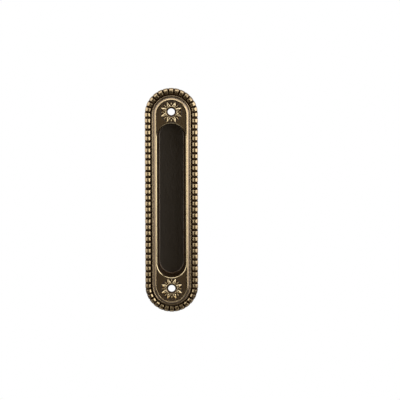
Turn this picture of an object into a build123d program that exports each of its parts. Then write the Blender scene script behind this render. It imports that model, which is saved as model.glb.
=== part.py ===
from build123d import *
import os
from math import copysign, cos, pi, radians, sin, tan

# Overall sizes of the pull, in millimetres
length = 154.2
width = 36.0

# Beaded rim
rim_edge = 1.3
bead_band = 4.1
bead_facets = 6
bead_roof = 1.3
bead_pitch = 4.1
notch_width = 1.7
notch_floor = 0.3
edge_notch_width = 1.3
edge_notch_depth = 0.4

# Moulded frame between the rim and the sunk panel, from the outside in
groove_width = 0.6
ridge_width = 0.9
ridge_top_width = 0.4
ridge_height = 3.3
valley_height = 3.0
cove_width = 1.75
cove_sag = 0.18
crest_width = 0.25
crest_height = 4.1
frame_flank = 0.15
panel_height = 3.0

# Finger recess
lip_chamfer = 0.4
lip_land = 0.1
recess_depth = 11.0
wall_draft = 6.0
floor_fillet = 1.0
cup_wall = 1.5
cup_chamfer = 1.5

# Screw holes
hole_inset = 16.2
hole_diameter = 5.0
countersink_diameter = 6.8
countersink_angle = 90.0

# Rosette around each screw hole
rosette_radius = 7.35
rosette_clearance = 0.45
petal_count = 8
petal_half_width = 1.2
petal_height = 0.6
petal_root = 1.9
petal_shoulder = 4.5
petal_taper = 17.0
hollow_start = 4.0
hollow_end = 5.6
hollow_half_width = 0.3
hollow_depth = 0.35
hollow_taper = 30.0
spike_start = 4.9
spike_shoulder = 5.7
spike_end = 6.75
spike_half_width = 0.42
spike_height = 0.42
collar_diameter = 8.2
collar_height = 0.2

# Overlap that lets one solid run into the next before they are joined or cut
overlap = 0.5

# Half widths of the frame, worked inwards from the rim
half_width = width / 2
bead_inner = half_width - bead_band
bead_crest = rim_edge + bead_band / 2
ridge_outer = bead_inner - groove_width
ridge_inner = ridge_outer - ridge_width
crest_outer = ridge_inner - cove_width
crest_inner = crest_outer - crest_width
panel_half = crest_inner - frame_flank
opening_half = panel_half - lip_land - lip_chamfer

# Places along the pull
end_spacing = length - width
hole_spacing = length - 2 * hole_inset
opening_length = hole_spacing - 2 * (rosette_radius + rosette_clearance)
opening_spacing = opening_length - 2 * opening_half

# The recess and its cup, measured back from the face of the door
floor_y = recess_depth - panel_height
cup_bottom = floor_y + cup_wall
draft_run = tan(radians(wall_draft))
cup_face_half = opening_half - panel_height * draft_run + cup_wall / cos(radians(wall_draft))


def stadium_sweep(section, spacing):
    """Carry a half section, drawn beside x = 0, along the straight and round both ends."""
    half = spacing / 2
    straight = extrude(section + mirror(section, about=Plane.YZ), amount=half, both=True)
    end = revolve(Pos(0, 0, half) * section, Axis((0, 0, half), (0, -1, 0)), 180)
    return straight + end + mirror(end, about=Plane.XY)


def at(radius, height):
    """A point of a section, given by its distance from the middle and its height off the door."""
    return (radius, -height)


def nearest(section, corner):
    """The corner of a section that lies nearest to a point."""
    return section.vertices().sort_by_distance((*corner, 0))[0]


def flange():
    """The plate on the door: beaded rim, groove, ridge, cove, crest and sunk panel."""
    bead_radius = bead_band / 2
    bead_angles = [pi * k / bead_facets for k in range(bead_facets + 1)]
    half_round = [
        at(
            half_width - bead_radius * (1 - copysign(abs(cos(a)) ** bead_roof, cos(a))),
            rim_edge + bead_radius * abs(sin(a)) ** bead_roof,
        )
        for a in bead_angles
    ]
    ridge_slope = (ridge_width - ridge_top_width) / 2
    outline = [
        Polyline(at(0, panel_height), at(0, 0), at(half_width, 0), *half_round),
        Polyline(
            half_round[-1],
            at(ridge_outer, rim_edge),
            at(ridge_outer - ridge_slope, ridge_height),
            at(ridge_inner + ridge_slope, ridge_height),
            at(ridge_inner, valley_height),
        ),
        SagittaArc(at(ridge_inner, valley_height), at(crest_outer, crest_height), -cove_sag),
        Polyline(
            at(crest_outer, crest_height),
            at(crest_inner, crest_height),
            at(panel_half, panel_height),
            at(0, panel_height),
        ),
    ]
    return stadium_sweep(make_face(outline), end_spacing)


def cup_body():
    """The outside of the cup that sinks into the door."""
    corner = (cup_face_half - cup_bottom * draft_run, cup_bottom)
    section = make_face(
        Polyline(
            (0, -overlap),
            (cup_face_half, -overlap),
            (cup_face_half, 0),
            corner,
            (0, cup_bottom),
            close=True,
        )
    )
    return stadium_sweep(chamfer(nearest(section, corner), cup_chamfer), opening_spacing)


def recess():
    """The hollow that takes the fingers, with drafted walls and a rounded floor."""
    mouth = panel_height + overlap
    corner = (opening_half - recess_depth * draft_run, floor_y)
    section = make_face(
        Polyline(
            (0, floor_y),
            corner,
            at(opening_half + overlap * draft_run, mouth),
            at(0, mouth),
            close=True,
        )
    )
    return stadium_sweep(fillet(nearest(section, corner), floor_fillet), opening_spacing)


def bead_notch():
    """The cut between two beads, at the middle of the right side."""
    bead_rise = bead_crest - rim_edge
    spread = (notch_width - notch_floor) / 2 / bead_rise
    top_half = notch_floor / 2 + (bead_rise + overlap) * spread
    crosswise = make_face(
        Polyline(
            (-rim_edge, -notch_floor / 2),
            (-rim_edge, notch_floor / 2),
            (-bead_crest - overlap, top_half),
            (-bead_crest - overlap, -top_half),
            close=True,
        )
    )
    start = bead_inner - groove_width / 2
    across = extrude(Plane.YZ.offset(start) * crosswise, half_width + overlap - start)
    edge_spread = (edge_notch_width - notch_floor) / 2 / edge_notch_depth
    outer_half = notch_floor / 2 + (edge_notch_depth + overlap) * edge_spread
    edgewise = make_face(
        Polyline(
            (half_width - edge_notch_depth, -notch_floor / 2),
            (half_width - edge_notch_depth, notch_floor / 2),
            (half_width + overlap, outer_half),
            (half_width + overlap, -outer_half),
            close=True,
        )
    )
    upright = extrude(Plane.XZ.offset(-overlap) * edgewise, bead_crest + overlap)
    return across + upright


def bead_notches():
    """All the cuts that part the rim into beads, spaced evenly on each side and round each end."""
    notch = bead_notch()
    side_count = round(end_spacing / bead_pitch)
    side_step = end_spacing / side_count
    end_count = round(pi * half_width / bead_pitch)
    end_step = 180 / end_count
    cuts = []
    for k in range(side_count):
        height = (k + 0.5) * side_step - end_spacing / 2
        cuts += [Pos(0, 0, height) * Rot(0, turn, 0) * notch for turn in (0, 180)]
    for k in range(end_count):
        turn = (k + 0.5) * end_step
        cuts += [Pos(0, 0, end_spacing / 2) * Rot(0, -turn, 0) * notch]
        cuts += [Pos(0, 0, -end_spacing / 2) * Rot(0, turn, 0) * notch]
    print(f"beads: {side_count} on each side at {side_step:.2f} mm, {end_count} round each end")
    return cuts


def blade(start, shoulder, end, half, base, top, taper):
    """A pointed leaf along x, widest at its shoulder, that narrows by the taper towards its top."""
    outline = Polyline((start, 0), (shoulder, -half), (end, 0), (shoulder, half), close=True)
    return extrude(Pos(0, 0, base) * make_face(outline), top - base, taper=taper)


def rosette():
    """Raised collar, cupped petals and the short spikes between them, standing on z = 0."""
    petal = blade(
        petal_root, petal_shoulder, rosette_radius, petal_half_width, 0, petal_height, petal_taper
    )
    hollow = blade(
        hollow_start,
        petal_shoulder,
        hollow_end,
        hollow_half_width,
        petal_height - hollow_depth,
        petal_height + overlap,
        -hollow_taper,
    )
    spike = blade(spike_start, spike_shoulder, spike_end, spike_half_width, 0, spike_height, petal_taper)
    step = 360 / petal_count
    shape = extrude(Circle(collar_diameter / 2), collar_height)
    for k in range(petal_count):
        shape += Rot(0, 0, (k + 0.5) * step) * (petal - hollow)
        shape += Rot(0, 0, k * step) * spike
    return shape


def screw_hole():
    """A countersunk screw hole, with its sink starting at the top of the collar on z = collar_height."""
    bore = hole_diameter / 2
    sink = countersink_diameter / 2
    steepness = tan(radians(countersink_angle / 2))
    sink_depth = (sink - bore) / steepness
    mouth = collar_height + petal_height
    section = make_face(
        Polyline(
            (0, -panel_height - overlap),
            (bore, -panel_height - overlap),
            (bore, collar_height - sink_depth),
            (sink, collar_height),
            (sink, mouth),
            (0, mouth),
            close=True,
        )
    )
    return revolve(Plane.XZ * section, Axis.Z)


def handle_body():
    """The whole casting."""
    plate = flange() + cup_body() - recess()
    panel = plate.faces().filter_by(Axis.Y).sort_by(SortBy.AREA)
    panel = [face for face in panel if abs(face.center().Y + panel_height) < overlap / 10][-1]
    body = chamfer(panel.inner_wires()[0].edges(), lip_chamfer)
    body = body - bead_notches()
    for side in (1, -1):
        front = Plane((0, -panel_height, side * hole_spacing / 2), x_dir=(1, 0, 0), z_dir=(0, -1, 0))
        body = body + front.location * rosette() - front.location * screw_hole()
    return body


body = handle_body()
os.makedirs("parts", exist_ok=True)
export_step(body, "parts/handle_body.step")
print(f"opening {2 * opening_half:.2f} x {opening_length:.2f} mm, screw centres {hole_spacing:.1f} mm apart")
print(f"{len(body.solids())} solid, volume {body.volume:.0f} mm3, box {body.bounding_box().size}")
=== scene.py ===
# %% [markdown]
# # A flush pull for a sliding door
# The real object is one casting, about a hand long: a round-ended plate with a beaded rim and a moulded
# frame, a deep slot for the fingers, and a leafy rosette round each screw hole. It was darkened all over
# and then rubbed back, so that every raised edge shines like brass and every hollow stays brown.
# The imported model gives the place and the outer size. This lesson builds the same casting again with
# rounded edges and shaped beads, and gives it that finish.

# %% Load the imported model
from math import copysign, cos, pi, radians, sin, tan

import bmesh
import bpy
from mathutils import Matrix, Vector


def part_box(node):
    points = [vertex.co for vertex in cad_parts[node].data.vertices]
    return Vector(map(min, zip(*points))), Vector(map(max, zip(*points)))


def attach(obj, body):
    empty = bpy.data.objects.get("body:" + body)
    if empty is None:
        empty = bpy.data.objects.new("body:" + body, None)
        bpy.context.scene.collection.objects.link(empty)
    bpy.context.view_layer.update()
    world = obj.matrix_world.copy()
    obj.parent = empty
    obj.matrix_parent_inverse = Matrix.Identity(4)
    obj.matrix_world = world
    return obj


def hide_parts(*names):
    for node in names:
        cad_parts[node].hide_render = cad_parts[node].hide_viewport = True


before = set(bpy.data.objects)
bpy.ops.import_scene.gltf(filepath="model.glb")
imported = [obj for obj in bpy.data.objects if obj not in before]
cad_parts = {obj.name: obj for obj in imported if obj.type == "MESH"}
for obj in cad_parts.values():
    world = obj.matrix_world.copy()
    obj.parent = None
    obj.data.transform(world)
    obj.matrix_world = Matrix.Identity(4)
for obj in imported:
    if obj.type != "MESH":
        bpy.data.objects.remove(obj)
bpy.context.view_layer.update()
low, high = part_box("handle_body")
MM = 0.001
width = (high.x - low.x) / MM
length = (high.z - low.z) / MM
print(f"casting {width:.1f} mm wide and {length:.1f} mm long")

# %% [markdown]
# ## The section of the frame
# From the outside in, a saw cut through the frame would show the rim bead, a dark groove, a thin ridge,
# a hollow cove that climbs to a sharp crest, and a drop to the sunk panel. Each of these is an arc or a
# short line, so the section is written as runs of points: distance from the middle, height off the door,
# and how far the rubbing has reached, from 0 in a hollow to 1 on an edge.

# %% Runs and arcs
def bow(centre, radii, start, end, steps, power=1.0):
    """Points on an ellipse from one angle to another. A power above 1 flattens it towards a bevel."""
    points = []
    for k in range(steps + 1):
        angle = radians(start + (end - start) * k / steps)
        across, up = cos(angle), sin(angle)
        across = copysign(abs(across) ** power, across)
        up = copysign(abs(up) ** power, up)
        points.append((centre[0] + radii[0] * across, centre[1] + radii[1] * up))
    return points


def run(start, end, steps, power=1.0):
    """Points on a line. A power above 1 makes it a hollow that starts level and ends steep."""
    points = []
    for k in range(steps + 1):
        share = k / steps
        radius = start[0] + (end[0] - start[0]) * share
        points.append((radius, start[1] + (end[1] - start[1]) * share**power))
    return points


def worn(points, *rubs):
    """Add the wear to a run of points, spread evenly from the first value to the last."""
    spread = []
    for k, (radius, height) in enumerate(points):
        place = k / max(len(points) - 1, 1) * (len(rubs) - 1)
        step = min(int(place), len(rubs) - 2)
        spread.append((radius, height, rubs[step] + (rubs[step + 1] - rubs[step]) * (place - step)))
    return spread


# %% The frame from the back edge to the panel
half_width = width / 2
back_round = 0.15
rim_edge = 1.3
bead_radius, bead_steps = 2.05, 8
bead_middle = half_width - bead_radius
outer_bevel, inner_bevel = 1.14, 1.1
groove_middle, groove_height, groove_radii = 13.57, 1.85, (0.33, 0.45)
ridge_middle = 12.87
ridge_side, ridge_side_radii = 2.9, (0.35, 0.4)
ridge_top, ridge_top_radii = 3.1, (0.5, 0.2)
cove_start, cove_end, cove_hollow = (12.24, 3.08), (10.64, 3.9), 1.65
crest_middle, crest_radii = (10.5, 3.86), (0.15, 0.2)
panel_half, panel_height = 10.3, 3.0

bead_rise = rim_edge + bead_radius - groove_height
outer_bow = bow((bead_middle, rim_edge), (bead_radius, bead_radius), 0, 90, bead_steps, outer_bevel)
inner_bow = bow((bead_middle, groove_height), (bead_radius, bead_rise), 90, 180, bead_steps, inner_bevel)
rim_run = worn([(half_width - back_round, 0), (half_width, back_round)], 0.3, 0.4)
rim_run += worn(outer_bow, 0.5, 0.58, 0.72)
rim_run += worn(inner_bow[1:], 0.72, 0.72, 0.55)
groove = worn(bow((groove_middle, groove_height), groove_radii, 0, -180, 4)[1:], 0.1, 0.03, 0.06)
ridge = worn(bow((ridge_middle, ridge_side), ridge_side_radii, 0, 90, 4), 0.1, 0.35, 1)
ridge += worn(bow((ridge_middle, ridge_top), ridge_top_radii, 90, 150, 3)[1:], 1, 0.45)
cove = worn(run(cove_start, cove_end, 8, cove_hollow), 0.36, 0.37, 0.41, 0.54, 1)
crest = worn(bow(crest_middle, crest_radii, 30, 150, 4), 1, 1)
flank = worn(run(crest[-1][:2], (panel_half, panel_height), 4)[1:], 1, 1, 0.6)
front_section = rim_run + groove + ridge + cove + crest + flank
print(f"frame section of {len(front_section)} points, {max(p[1] for p in front_section):.2f} mm high")

# %% [markdown]
# ## Beads
# The rim is a half-round bar that is notched into short barrels, with a dark slit between neighbours.
# Cutting 86 slits out of a plain rim would leave hard, thin faces. Instead one pitch of the frame is
# extruded in steps, close together at the slit, and the points of the rim are pressed down there under a
# steep wall. The wall takes over from the bar in a small round, so each barrel has a worn edge. The pitch
# is then repeated.

# %% How the slit presses the rim down
side_beads, end_beads = 29, 14
end_spacing = length - width
pitch = end_spacing / side_beads
slit_half, slit_depth, slit_slope = 0.45, 0.3, 4.5
slit_rub, bare_start, bare_span, least_lift = 0.16, 0.8, 0.4, 0.7
edge_dip, edge_reach, edge_power = 0.16, 0.7, 8
half_steps = (0.5, 0.36, 0.27, 0.24, 0.22, 0.2, 0.175, 0.145, 0.11, 0.055)
stations = [-step for step in half_steps] + [0] + list(reversed(half_steps))


def pressed(point, station):
    """A rim point as it lies at a station: full in the middle of a bead, pressed down in the slit."""
    radius, height, rub = point
    away = abs(station) * pitch
    wall = slit_depth + slit_slope * max(0, away - slit_half)
    lift = max(0, height - rim_edge)
    dip = max(0, 1 - away / edge_reach)
    bare = min(1, max(0, (wall / max(lift, least_lift) - bare_start) / bare_span))
    return (
        bead_middle + (radius - bead_middle) * (1 - edge_dip * dip),
        min(height, rim_edge) + lift / (1 + (lift / wall) ** edge_power) ** (1 / edge_power),
        rub * (slit_rub + (1 - slit_rub) * bare) if lift else rub,
    )


# %% One pitch, straight and bent
casting = bmesh.new()
rub_mark = casting.verts.layers.float.new("rub")
row_mark = casting.verts.layers.int.new("row")
station_mark = casting.verts.layers.float.new("station")


def of_kind(geometry, kind):
    """The vertices, edges or faces among what an operator returns."""
    return [part for part in geometry if isinstance(part, kind)]


def edges_of(faces):
    """The edges of some faces, each one once and in a fixed order."""
    return list(dict.fromkeys(edge for face in faces for edge in face.edges))


def chain_of(bm, section):
    """A section drawn as a chain of edges on the right of the casting."""
    verts = []
    for number, (radius, height, rub) in enumerate(section):
        vert = bm.verts.new((radius, -height, 0))
        vert[rub_mark], vert[row_mark] = rub, number
        verts.append(vert)
    return verts, [bm.edges.new(pair) for pair in zip(verts, verts[1:])]


def extruded(bm, chain):
    """Extrude a chain of edges in place. Returns the vertices and the edges of the new chain."""
    grown = bmesh.ops.extrude_edge_only(bm, edges=chain)["geom"]
    verts = of_kind(grown, bmesh.types.BMVert)
    edges = of_kind(grown, bmesh.types.BMEdge)
    return verts, [edge for edge in edges if all(v in verts for v in edge.verts)]


def frame_pitch(bm, carry):
    """One bead pitch of the frame, from the middle of a bead over the slit to the middle of the next."""
    start = len(bm.faces)
    new_verts, chain = chain_of(bm, front_section)
    verts = []
    for station in stations:
        if verts:
            new_verts, chain = extruded(bm, chain)
        for vert in new_verts:
            vert[station_mark] = station
        verts += new_verts
    for vert in verts:
        point = front_section[vert[row_mark]]
        if vert[row_mark] < len(rim_run):
            point = pressed(point, vert[station_mark])
        vert.co = carry(vert[station_mark]) @ Vector((point[0], -point[1], 0))
        vert[rub_mark] = point[2]
    bm.faces.ensure_lookup_table()
    faces = list(bm.faces[start:])
    return verts + edges_of(faces) + faces


def repeat(bm, geometry, matrix):
    """Copy some geometry and move the copy by a matrix."""
    copy = bmesh.ops.duplicate(bm, geom=geometry)["geom"]
    bmesh.ops.transform(bm, matrix=matrix, verts=of_kind(copy, bmesh.types.BMVert))


# %% The whole frame
join_distance = 0.002
end_step = pi / end_beads
end_middle = (0, 0, end_spacing / 2)
to_front = (0, -1, 0)
half_turn = Matrix.Rotation(pi, 4, "Y")
low_pitch = (1 - side_beads) / 2 * pitch
straight = frame_pitch(casting, lambda s: Matrix.Translation((0, 0, low_pitch + s * pitch)))
for k in range(1, side_beads):
    repeat(casting, straight, Matrix.Translation((0, 0, k * pitch)))
to_end = Matrix.Translation(end_middle)
bent = frame_pitch(casting, lambda s: to_end @ Matrix.Rotation(-(s + 0.5) * end_step, 4, "Y"))
bmesh.ops.spin(
    casting, geom=bent, cent=end_middle, axis=to_front,
    angle=pi - end_step, steps=end_beads - 1, use_duplicate=True,
)
repeat(casting, casting.verts[:] + casting.edges[:] + casting.faces[:], half_turn)
bmesh.ops.remove_doubles(casting, verts=casting.verts[:], dist=join_distance)
frame_edges = casting.edges[:]
print(f"{2 * (side_beads + end_beads)} beads, {len(casting.faces)} faces in the frame")

# %% [markdown]
# ## The finger recess and the cup behind it
# The slot has a worn lip, walls that lean in so that the casting leaves its mould, and a rounded floor.
# Behind the plate the same shape stands out as a cup that sinks into the door. Both are one section
# carried along a straight and round an end, so one helper extrudes and spins the section for half of the
# way, and the other half is its copy turned round.

# %% Carry a section round the slot
opening_half, opening_spacing = 9.87, 86.7
end_steps = 40


def row_of(edges, number):
    """The edges that run along one row of a section."""
    return [edge for edge in edges if all(v[row_mark] == number for v in edge.verts)]


def end_rows(bm, before, section):
    """The edges along the first and the last row of a section that was drawn after some vertices."""
    edges = [edge for edge in bm.edges if not any(v in before for v in edge.verts)]
    return row_of(edges, 0), row_of(edges, len(section) - 1)


def round_ended(bm, section):
    """A section carried round the slot. Returns the edges along its first and last rows."""
    before = set(bm.verts)
    verts, chain = chain_of(bm, section)
    bmesh.ops.translate(bm, vec=(0, 0, -opening_spacing / 2), verts=verts)
    top, top_chain = extruded(bm, chain)
    bmesh.ops.translate(bm, vec=(0, 0, opening_spacing), verts=top)
    bmesh.ops.spin(
        bm, geom=top + top_chain, cent=(0, 0, opening_spacing / 2), axis=to_front,
        angle=pi, steps=end_steps,
    )
    half = [v for v in bm.verts if v not in before]
    faces = list(dict.fromkeys(face for v in half for face in v.link_faces))
    repeat(bm, half + edges_of(faces) + faces, half_turn)
    made = [v for v in bm.verts if v not in before]
    bmesh.ops.remove_doubles(bm, verts=made, dist=join_distance)
    return end_rows(bm, before, section)


# %% The recess
recess_depth, draft = 11.0, radians(6)
floor_height = panel_height - recess_depth
floor_round = 1.0
lip_reach, lip_drop, lip_bevel, lip_wear = 10.28, 0.42, 1.5, 0.06


def wall_at(height):
    """Half width of the recess at a height."""
    return opening_half - (panel_height - height) * tan(draft)


lip_low = panel_height - lip_drop
round_height = floor_height + floor_round
round_middle = wall_at(round_height) - floor_round / cos(draft)
lip_bow = bow((lip_reach, lip_low), (lip_reach - wall_at(lip_low), lip_drop), 90, 180, 8, lip_bevel)
floor_bow = bow((round_middle, round_height), (floor_round, floor_round), -6, -90, 6)
recess_section = worn(lip_bow, 0.8, 1, 1, 0.8)
recess_section += worn(run(lip_bow[-1], floor_bow[0], 6)[1:], 0.05, 0.0, 0.03)
recess_section += worn(floor_bow[1:], 0.06, 0.18, 0.28)
earlier = set(casting.verts)
lip_loop, floor_loop = round_ended(casting, recess_section)
lip_rows = len(lip_bow) - 1
for vert in casting.verts:
    if vert not in earlier and vert[row_mark] < lip_rows:
        vert.co.z += copysign(lip_wear * (1 - vert[row_mark] / lip_rows), vert.co.z)
print(f"recess {2 * opening_half:.1f} x {opening_spacing + 2 * opening_half:.1f} mm")

# %% The cup
cup_wall, cup_round = 1.5, 1.5
cup_depth = floor_height - cup_wall
cup_face = wall_at(0) + cup_wall / cos(draft)
cup_low = cup_depth + cup_round
cup_foot = cup_face + cup_low * tan(draft)
cup_bow = bow((cup_foot - cup_round, cup_low), (cup_round, cup_round), 0, -90, 6)
cup_section = worn(run((cup_face, 0), (cup_foot, cup_low), 4), 0.3, 0.4) + worn(cup_bow[1:], 0.5, 0.4)
cup_mouth, cup_floor = round_ended(casting, cup_section)
print(f"cup {-cup_depth:.1f} mm deep")

# %% [markdown]
# ## Screw holes and the flat faces
# Each hole has a low collar, a cone for the screw's head and a plain bore, so it is a short section spun
# a full turn. What is left open then is flat: the panel, the floor of the recess, the back and the bottom
# of the cup. Their edges are filled as they stand, holes and all, by one operator. The panel keeps a
# finish of its own, because it was too sunk to be rubbed much, and it also carries painted shade in its
# corners under the crest and round the leaves.

# %% Screw holes
hole_height, hole_steps = 60.9, 48
bore, bore_round = 2.45, 0.12
sink, sink_top = 3.4, panel_height + 0.02
collar, collar_half, collar_rise, collar_foot = 3.82, 0.4, 0.35, 0.1
collar_bow = bow((collar, panel_height), (collar_half, collar_rise), 0, 170, 8)
sink_run = run((sink, sink_top), (bore, sink_top - sink + bore), 3)
hole_section = worn([(collar + collar_half + collar_foot, panel_height)], 0.4, 0.4)
hole_section += worn(collar_bow, 0.5, 0.9, 0.9, 0.3)
hole_section += worn(sink_run[1:], 0.02, 0.05)
hole_section += worn([(bore, bore_round), (bore + bore_round, 0)], 0.2, 0.3)


def screw_hole(bm, height):
    """A countersunk hole at a height. Returns the edges of its rows on the panel and on the back."""
    before = set(bm.verts)
    verts, chain = chain_of(bm, hole_section)
    bmesh.ops.translate(bm, vec=(0, 0, height), verts=verts)
    bmesh.ops.spin(
        bm, geom=verts + chain, cent=(0, 0, height), axis=to_front,
        angle=2 * pi, steps=hole_steps, use_merge=True,
    )
    return end_rows(bm, before, hole_section)


holes = [screw_hole(casting, height) for height in (hole_height, -hole_height)]
print(f"{len(holes)} screw holes, {2 * hole_height:.1f} mm apart")

# %% Fill the flat faces
to_back = (0, 1, 0)
back_loop = row_of(frame_edges, 0)
panel_loop = row_of(frame_edges, len(front_section) - 1)
flats = {
    "panel": (panel_loop + lip_loop + holes[0][0] + holes[1][0], to_front, 1),
    "recess floor": (floor_loop, to_front, 0),
    "back": (back_loop + cup_mouth + holes[0][1] + holes[1][1], to_back, 0),
    "cup bottom": (cup_floor, to_back, 0),
}
for name, (edges, normal, finish) in flats.items():
    made = bmesh.ops.triangle_fill(casting, use_beauty=True, edges=edges, normal=normal)["geom"]
    faces = of_kind(made, bmesh.types.BMFace)
    for face in faces:
        face.material_index = finish
    for edge in edges:
        edge.smooth = False
    print(f"{name}: {len(faces)} faces")

# %% Close the casting
sharp_angle = radians(50)
bmesh.ops.recalc_face_normals(casting, faces=casting.faces[:])
for edge in casting.edges:
    if edge.is_manifold and edge.calc_face_angle() > sharp_angle:
        edge.smooth = False
open_edges = sum(not edge.is_manifold for edge in casting.edges)
print(f"open edges {open_edges}, volume {casting.calc_volume():.0f} mm3")

# %% [markdown]
# ## Antique bronze
# The finish is a dark brown skin over brass. Rubbing thins it on the edges and leaves it in the hollows,
# so the wear that the sections carry drives everything: the colour goes from nearly black through brown
# to pale brass, and the surface from dull to polished, with a clear lacquer that shows where it is bare.
# Noise breaks up the border between them, because a cloth never rubs evenly. The effect is a node group,
# so the casting, its panels and the leaves share it.

# %% Small helpers for nodes
def add_node(tree, kind, inputs=(), **settings):
    """Add a node, set its options, and set or link its inputs by name or number."""
    node = tree.nodes.new(kind)
    for key, value in settings.items():
        setattr(node, key, value)
    for key, value in dict(inputs).items():
        if isinstance(value, bpy.types.NodeSocket):
            tree.links.new(value, node.inputs[key])
        else:
            node.inputs[key].default_value = value
    return node


def maths(tree, operation, first, second=0.0, **settings):
    """The result of one sum on two values or sockets."""
    node = add_node(tree, "ShaderNodeMath", {0: first, 1: second}, operation=operation, **settings)
    return node.outputs[0]


def ranged(tree, value, start, end, least, most):
    """A value carried from one range over to another, and held inside it."""
    spans = {"Value": value, "From Min": start, "From Max": end, "To Min": least, "To Max": most}
    return add_node(tree, "ShaderNodeMapRange", spans).outputs[0]


def noise(tree, place, scale, detail, roughness):
    """Cloudy grey between 0 and 1."""
    grain = {"Vector": place, "Scale": scale, "Detail": detail, "Roughness": roughness}
    return add_node(tree, "ShaderNodeTexNoise", grain).outputs["Fac"]


# %% The patina group
mottle_grain, peel_grain, peel_scale = (2.0, 0.5), (3.0, 0.55), 1200.0
dull, polished = 0.5, 0.19
skin_metal, bare_metal, metal_from = 0.55, 1.0, 0.4
skin_lacquer, bare_lacquer, lacquer_from = 0.03, 0.3, 0.5
tones = (
    (0.0, (0.055, 0.027, 0.008)),
    (0.14, (0.135, 0.072, 0.028)),
    (0.25, (0.19, 0.172, 0.148)),
    (0.3, (0.195, 0.175, 0.149)),
    (0.45, (0.42, 0.30, 0.195)),
    (0.75, (0.62, 0.48, 0.26)),
    (1.0, (0.83, 0.68, 0.415)),
)

patina = bpy.data.node_groups.new("rubbed_patina", "ShaderNodeTree")
for name, default in (("Rub", 0.5), ("Mottle Size", 1.2), ("Mottle", 0.2), ("Peel", 1.0)):
    socket = patina.interface.new_socket(name, in_out="INPUT", socket_type="NodeSocketFloat")
    socket.default_value = default
patina.interface.new_socket("Colour", in_out="OUTPUT", socket_type="NodeSocketColor")
for name in ("Roughness", "Metal", "Lacquer", "Height"):
    patina.interface.new_socket(name, in_out="OUTPUT", socket_type="NodeSocketFloat")
given = add_node(patina, "NodeGroupInput").outputs
place = add_node(patina, "ShaderNodeTexCoord").outputs["Object"]
density = maths(patina, "DIVIDE", 1 / MM, given["Mottle Size"])
swing = maths(patina, "ADD", noise(patina, place, density, *mottle_grain), -0.5)
swing = maths(patina, "MULTIPLY", swing, given["Mottle"])
reach = maths(patina, "ADD", given["Rub"], swing, use_clamp=True)
skin = add_node(patina, "ShaderNodeValToRGB", {"Fac": reach})
while len(skin.color_ramp.elements) < len(tones):
    skin.color_ramp.elements.new(0.5)
for stop, (position, colour) in zip(skin.color_ramp.elements, tones):
    stop.position = position
    stop.color = (*colour, 1)
peel = maths(patina, "MULTIPLY", noise(patina, place, peel_scale, *peel_grain), given["Peel"])
add_node(patina, "NodeGroupOutput", {
    "Colour": skin.outputs["Color"],
    "Roughness": ranged(patina, reach, 0.0, 1.0, dull, polished),
    "Metal": ranged(patina, reach, 0.0, metal_from, skin_metal, bare_metal),
    "Lacquer": ranged(patina, reach, 0.0, lacquer_from, skin_lacquer, bare_lacquer),
    "Height": peel,
})
print(f"{patina.name}: {len(patina.nodes)} nodes, {len(tones)} tones")

# %% Where the wear comes from, and the panel's painted shade
# Distances from the hole and from the end's middle over which the panel darkens: patina plus painted
# shade.
rosette_patina_and_painted_shade, corner_patina_and_painted_shade = (6.4, 7.9), (10.3, 9.3)
panel_wear_and_shade_span = (0.07, 0.6)


def worn_by_hand(tree):
    """Wear that the piece carries with its points."""
    return add_node(tree, "ShaderNodeAttribute", attribute_name="rub").outputs["Fac"]


def worn_and_painted_shade_by_place(tree):
    """Wear of the sunk panels: least in the corner under the crest and between the leaves, where patina
    and painted shade darken it.
    """
    place = add_node(tree, "ShaderNodeTexCoord").outputs["Object"]
    axes = add_node(tree, "ShaderNodeSeparateXYZ", {0: place}).outputs
    rise = maths(tree, "ABSOLUTE", axes["Z"])
    past_hole = maths(tree, "SUBTRACT", rise, hole_height * MM)
    past_side = maths(tree, "SUBTRACT", rise, end_spacing / 2 * MM)
    past_side = maths(tree, "MAXIMUM", past_side, 0.0)
    masks = []
    # Painted shade round the leaves and under the crest, laid over the panel's patina.
    for past, (shaded, clear) in ((past_hole, rosette_patina_and_painted_shade), (past_side, corner_patina_and_painted_shade)):
        spot = add_node(tree, "ShaderNodeCombineXYZ", {"X": axes["X"], "Z": past}).outputs[0]
        away = add_node(tree, "ShaderNodeVectorMath", {0: spot}, operation="LENGTH").outputs["Value"]
        masks.append(ranged(tree, away, shaded * MM, clear * MM, 0.0, 1.0))
    return ranged(tree, maths(tree, "MINIMUM", *masks), 0.0, 1.0, *panel_wear_and_shade_span)


# %% The materials
relief_depth = 0.1 * MM
lacquer_roughness = 0.2


def bronze(name, wear, mottle_size, mottle, peel, bump):
    """A bronze finish with its own source of wear."""
    material = bpy.data.materials.new(name)
    material.use_nodes = True
    tree = material.node_tree
    shader = tree.nodes["Principled BSDF"]
    given = {"Rub": wear(tree), "Mottle Size": mottle_size, "Mottle": mottle, "Peel": peel}
    effect = add_node(tree, "ShaderNodeGroup", given, node_tree=patina).outputs
    relief = {"Height": effect["Height"], "Strength": bump, "Distance": relief_depth}
    tree.links.new(effect["Colour"], shader.inputs["Base Color"])
    tree.links.new(effect["Roughness"], shader.inputs["Roughness"])
    tree.links.new(effect["Metal"], shader.inputs["Metallic"])
    tree.links.new(effect["Lacquer"], shader.inputs["Coat Weight"])
    tree.links.new(add_node(tree, "ShaderNodeBump", relief).outputs["Normal"], shader.inputs["Normal"])
    shader.inputs["Coat Roughness"].default_value = lacquer_roughness
    return material


cast_bronze = bronze("antique_bronze_casting", worn_by_hand, 3.0, 0.09, 1.0, 0.012)
panel_bronze = bronze("antique_bronze_panel", worn_and_painted_shade_by_place, 3.5, 0.1, 1.0, 0.04)
leaf_bronze = bronze("antique_bronze_leaves", worn_by_hand, 1.5, 0.12, 0.8, 0.04)


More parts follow.
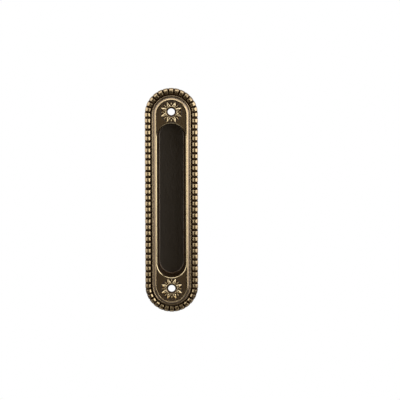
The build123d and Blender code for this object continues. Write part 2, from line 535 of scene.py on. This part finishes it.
# %% The casting as a finished piece
def finished(bm, name, *materials):
    """Turn a bmesh drawn in millimetres into a smooth-shaded object that rides on the casting's body."""
    bmesh.ops.scale(bm, vec=(MM, MM, MM), verts=bm.verts[:])
    for face in bm.faces:
        face.smooth = True
    mesh = bpy.data.meshes.new(name)
    bm.to_mesh(mesh)
    bm.free()
    for material in materials:
        mesh.materials.append(material)
    piece = bpy.data.objects.new(name, mesh)
    bpy.context.scene.collection.objects.link(piece)
    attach(piece, "root")
    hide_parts("handle_body")
    print(f"{name}: {len(mesh.polygons)} faces")
    return piece


casting.verts.layers.int.remove(row_mark)
casting.verts.layers.float.remove(station_mark)
finished(casting, "handle_casting", cast_bronze, panel_bronze)

# %% [markdown]
# ## Rosettes
# Eight pointed leaves with a sunk heart stand round each screw hole, with a short drop between every two.
# On the casting they are raised from the panel. A leaf could be carved out of a block, but its shape is
# easier to see on a sheet: a grid is drawn in to the leaf's outline, raised along its middle like a roof
# and sunk at its heart, and the underside is filled. Subdivision then rounds it. A drop is a ball,
# stretched and pinched.

# %% One leaf
leaf_start, leaf_end, leaf_half, leaf_widest = 3.7, 7.6, 1.3, 0.28
leaf_root, leaf_tip = 0.6, 0.06
leaf_base, leaf_slope = -0.06, 0.8
heart_depth, heart_side, heart_root, heart_end = 0.65, (0.14, 0.4), (0.05, 0.13), (0.36, 0.5)
rim_rub, rim_place, heart_rub = 0.3, (1.0, 0.75), 0.05


def between(value, start, end):
    """How far a value has gone from start to end, from 0 to 1, with soft ends."""
    share = min(1, max(0, (value - start) / (end - start)))
    return share * share * (3 - 2 * share)


def leaf(bm, rub):
    """A roofed leaf along x that stands in z = 0. Returns its vertices."""
    sheet = bmesh.ops.create_grid(bm, x_segments=14, y_segments=12, size=0.5)["verts"]
    for vert in sheet:
        along, across = vert.co.x + 0.5, 2 * vert.co.y
        if along < leaf_widest:
            half = leaf_half * (leaf_root + (1 - leaf_root) * sin(pi / 2 * along / leaf_widest))
        else:
            half = leaf_half * (1 - (1 - leaf_tip) * (along - leaf_widest) / (1 - leaf_widest))
        side = abs(across)
        heart = (1 - between(side, *heart_side)) * between(along, *heart_root)
        heart *= 1 - between(along, *heart_end)
        level = leaf_base + leaf_slope * half * (1 - side) - heart_depth * heart
        vert.co = (leaf_start + (leaf_end - leaf_start) * along, across * half, level)
        roof_rub = rim_rub + (1 - rim_rub) * between(side, *rim_place)
        vert[rub] = roof_rub * (1 - (1 - heart_rub) * heart)
    edges = dict.fromkeys(edge for vert in sheet for edge in vert.link_edges)
    bmesh.ops.holes_fill(bm, edges=[edge for edge in edges if edge.is_boundary], sides=0)
    return sheet


# %% One drop
drop_start, drop_end, drop_half, drop_height = 4.7, 6.9, 0.4, 0.5
drop_pinch, drop_foot_rub = 0.3, 0.3


def drop(bm, rub):
    """A short drop along x, half sunk in z = 0. Returns its vertices."""
    middle, reach = (drop_start + drop_end) / 2, (drop_end - drop_start) / 2
    shape = Matrix.Translation((middle, 0, 0)) @ Matrix.Diagonal((reach, drop_half, drop_height, 1))
    shape = shape @ Matrix.Rotation(pi / 2, 4, "Y")
    made = bmesh.ops.create_uvsphere(bm, u_segments=12, v_segments=8, radius=1, matrix=shape)["verts"]
    for vert in made:
        vert.co.y *= 1 - drop_pinch * (vert.co.x - middle) / reach
        vert[rub] = drop_foot_rub + (1 - drop_foot_rub) * max(0, vert.co.z) / drop_height
    return made


# %% Both rosettes
leaf_count = 8
leaves = bmesh.new()
leaf_rub = leaves.verts.layers.float.new("rub")
turn = 2 * pi / leaf_count
for height in (hole_height, -hole_height):
    seat = Matrix.Translation((0, -panel_height, height)) @ Matrix.Rotation(pi / 2, 4, "X")
    for k in range(leaf_count):
        for verts, spot in ((leaf(leaves, leaf_rub), k + 0.5), (drop(leaves, leaf_rub), k)):
            around = Matrix.Rotation(spot * turn, 4, "Z")
            bmesh.ops.transform(leaves, matrix=seat @ around, verts=verts)
bmesh.ops.recalc_face_normals(leaves, faces=leaves.faces[:])
open_edges = sum(not edge.is_manifold for edge in leaves.edges)
print(f"open edges {open_edges} in the leaves")
rosettes = finished(leaves, "rosette_leaves", leaf_bronze)
rounding = rosettes.modifiers.new("rounding", "SUBSURF")
rounding.levels = rounding.render_levels = 1

# %% [markdown]
# ## Camera, light and ground
# The photograph was taken with a long lens from a little above, in soft light from the right, the left
# and the top, with a weak bounce from below and nothing bright behind the camera. Metal is mostly what it
# mirrors, so four soft panels stand where those lights were, and the room towards the camera stays dim.
# The two at the sides hang high, because the lower third of the pull mirrors less light than the rest.

# %% Camera
scene = bpy.context.scene
scene.view_settings.view_transform = "Standard"
camera_distance, camera_rise, camera_roll = 3.0, radians(10), radians(-0.1)
frame_width = 0.2719
handle_offset = 0.01937
camera_data = bpy.data.cameras.new("camera")
camera_data.sensor_width = 36.0
camera_data.lens = camera_data.sensor_width * camera_distance / frame_width
camera_data.clip_end = 20.0
camera = bpy.data.objects.new("camera", camera_data)
camera.location = (handle_offset, -camera_distance * cos(camera_rise), camera_distance * sin(camera_rise))
look = Matrix.Rotation(pi / 2 - camera_rise, 4, "X") @ Matrix.Rotation(camera_roll, 4, "Z")
camera.rotation_euler = look.to_euler()
scene.collection.objects.link(camera)
scene.camera = camera
print(f"lens {camera_data.lens:.0f} mm at {camera_distance} m")


# %% Soft panels
def soft_panel(name, place, aim, size, radiance):
    """A rectangular lamp that is as bright as a surface of that radiance, and unseen by the camera."""
    lamp = bpy.data.lights.new(name, "AREA")
    lamp.shape = "RECTANGLE"
    lamp.size, lamp.size_y = size
    lamp.energy = radiance * pi * size[0] * size[1]
    panel = bpy.data.objects.new(name, lamp)
    panel.location = place
    panel.rotation_euler = (Vector(aim) - Vector(place)).to_track_quat("-Z", "Y").to_euler()
    panel.visible_camera = False
    scene.collection.objects.link(panel)
    print(f"{name}: {lamp.energy:.2f} W")


side_distance = 0.7
for name, angle, rise, size, radiance in (
    ("panel_right", 71, 0.14, (1.2, 0.62), 2.1),
    ("panel_left", -77, 0.24, (1.1, 0.82), 1.35),
):
    place = Vector((sin(radians(angle)), -cos(radians(angle)), 0)) * side_distance
    place.z = rise
    soft_panel(name, place, (0, 0, rise), size, radiance)
for name, angle, distance, size, radiance in (
    ("panel_top", 74, 0.3, (0.46, 0.17), 1.8),
    ("bounce_below", -86, 0.45, (0.9, 0.22), 0.55),
):
    place = Vector((0, -cos(radians(angle)), sin(radians(angle)))) * distance
    soft_panel(name, place, (0, 0, 0), size, radiance)

# %% Room
room_tint = (0.068, 0.053, 0.037, 1)
behind_start, behind_full, behind_white = 0.2, 0.6, 0.6
world = bpy.data.worlds.new("studio")
scene.world = world
world.use_nodes = True
tree = world.node_tree
white = tree.nodes["Background"]
white.inputs["Color"].default_value = (1, 1, 1, 1)
white.inputs["Strength"].default_value = 1.0
room = add_node(tree, "ShaderNodeBackground", {"Color": room_tint, "Strength": 1.0})
ray = add_node(tree, "ShaderNodeLightPath").outputs
toward = add_node(tree, "ShaderNodeTexCoord").outputs["Generated"]
behind = add_node(tree, "ShaderNodeSeparateXYZ", {0: toward}).outputs["Y"]
behind = ranged(tree, behind, behind_start, behind_full, 0.0, behind_white)
mirrored = maths(tree, "MULTIPLY", ray["Is Glossy Ray"], behind)
seen = maths(tree, "MAXIMUM", ray["Is Camera Ray"], ray["Is Transmission Ray"])
seen = maths(tree, "MAXIMUM", seen, mirrored)
backdrop = add_node(tree, "ShaderNodeMixShader", {0: seen, 1: room.outputs[0], 2: white.outputs[0]})
tree.links.new(backdrop.outputs[0], tree.nodes["World Output"].inputs["Surface"])
print("white behind the pull, a dim room on the camera's side")

# %% Ground
ground_half, ground_level, ground_glow = 3.0, -1.0, 0.88
ground_place = Matrix.Translation((0, 0, ground_level))
ground = bmesh.new()
bmesh.ops.create_grid(ground, x_segments=8, y_segments=8, size=ground_half, matrix=ground_place)
ground_mesh = bpy.data.meshes.new("floor")
ground.to_mesh(ground_mesh)
ground.free()
floor = bpy.data.objects.new("floor", ground_mesh)
scene.collection.objects.link(floor)
pale = bpy.data.materials.new("pale_floor")
pale.use_nodes = True
tree = pale.node_tree
surface = tree.nodes["Principled BSDF"]
surface.inputs["Base Color"].default_value = (0.25, 0.25, 0.245, 1)
surface.inputs["Roughness"].default_value = 0.8
seen = add_node(tree, "ShaderNodeLightPath").outputs["Is Camera Ray"]
glow = add_node(tree, "ShaderNodeEmission", {"Strength": maths(tree, "MULTIPLY", seen, ground_glow)})
both = add_node(tree, "ShaderNodeAddShader", {0: surface.outputs[0], 1: glow.outputs[0]})
tree.links.new(both.outputs[0], tree.nodes["Material Output"].inputs["Surface"])
ground_mesh.materials.append(pale)
print(f"floor at {ground_level} m")
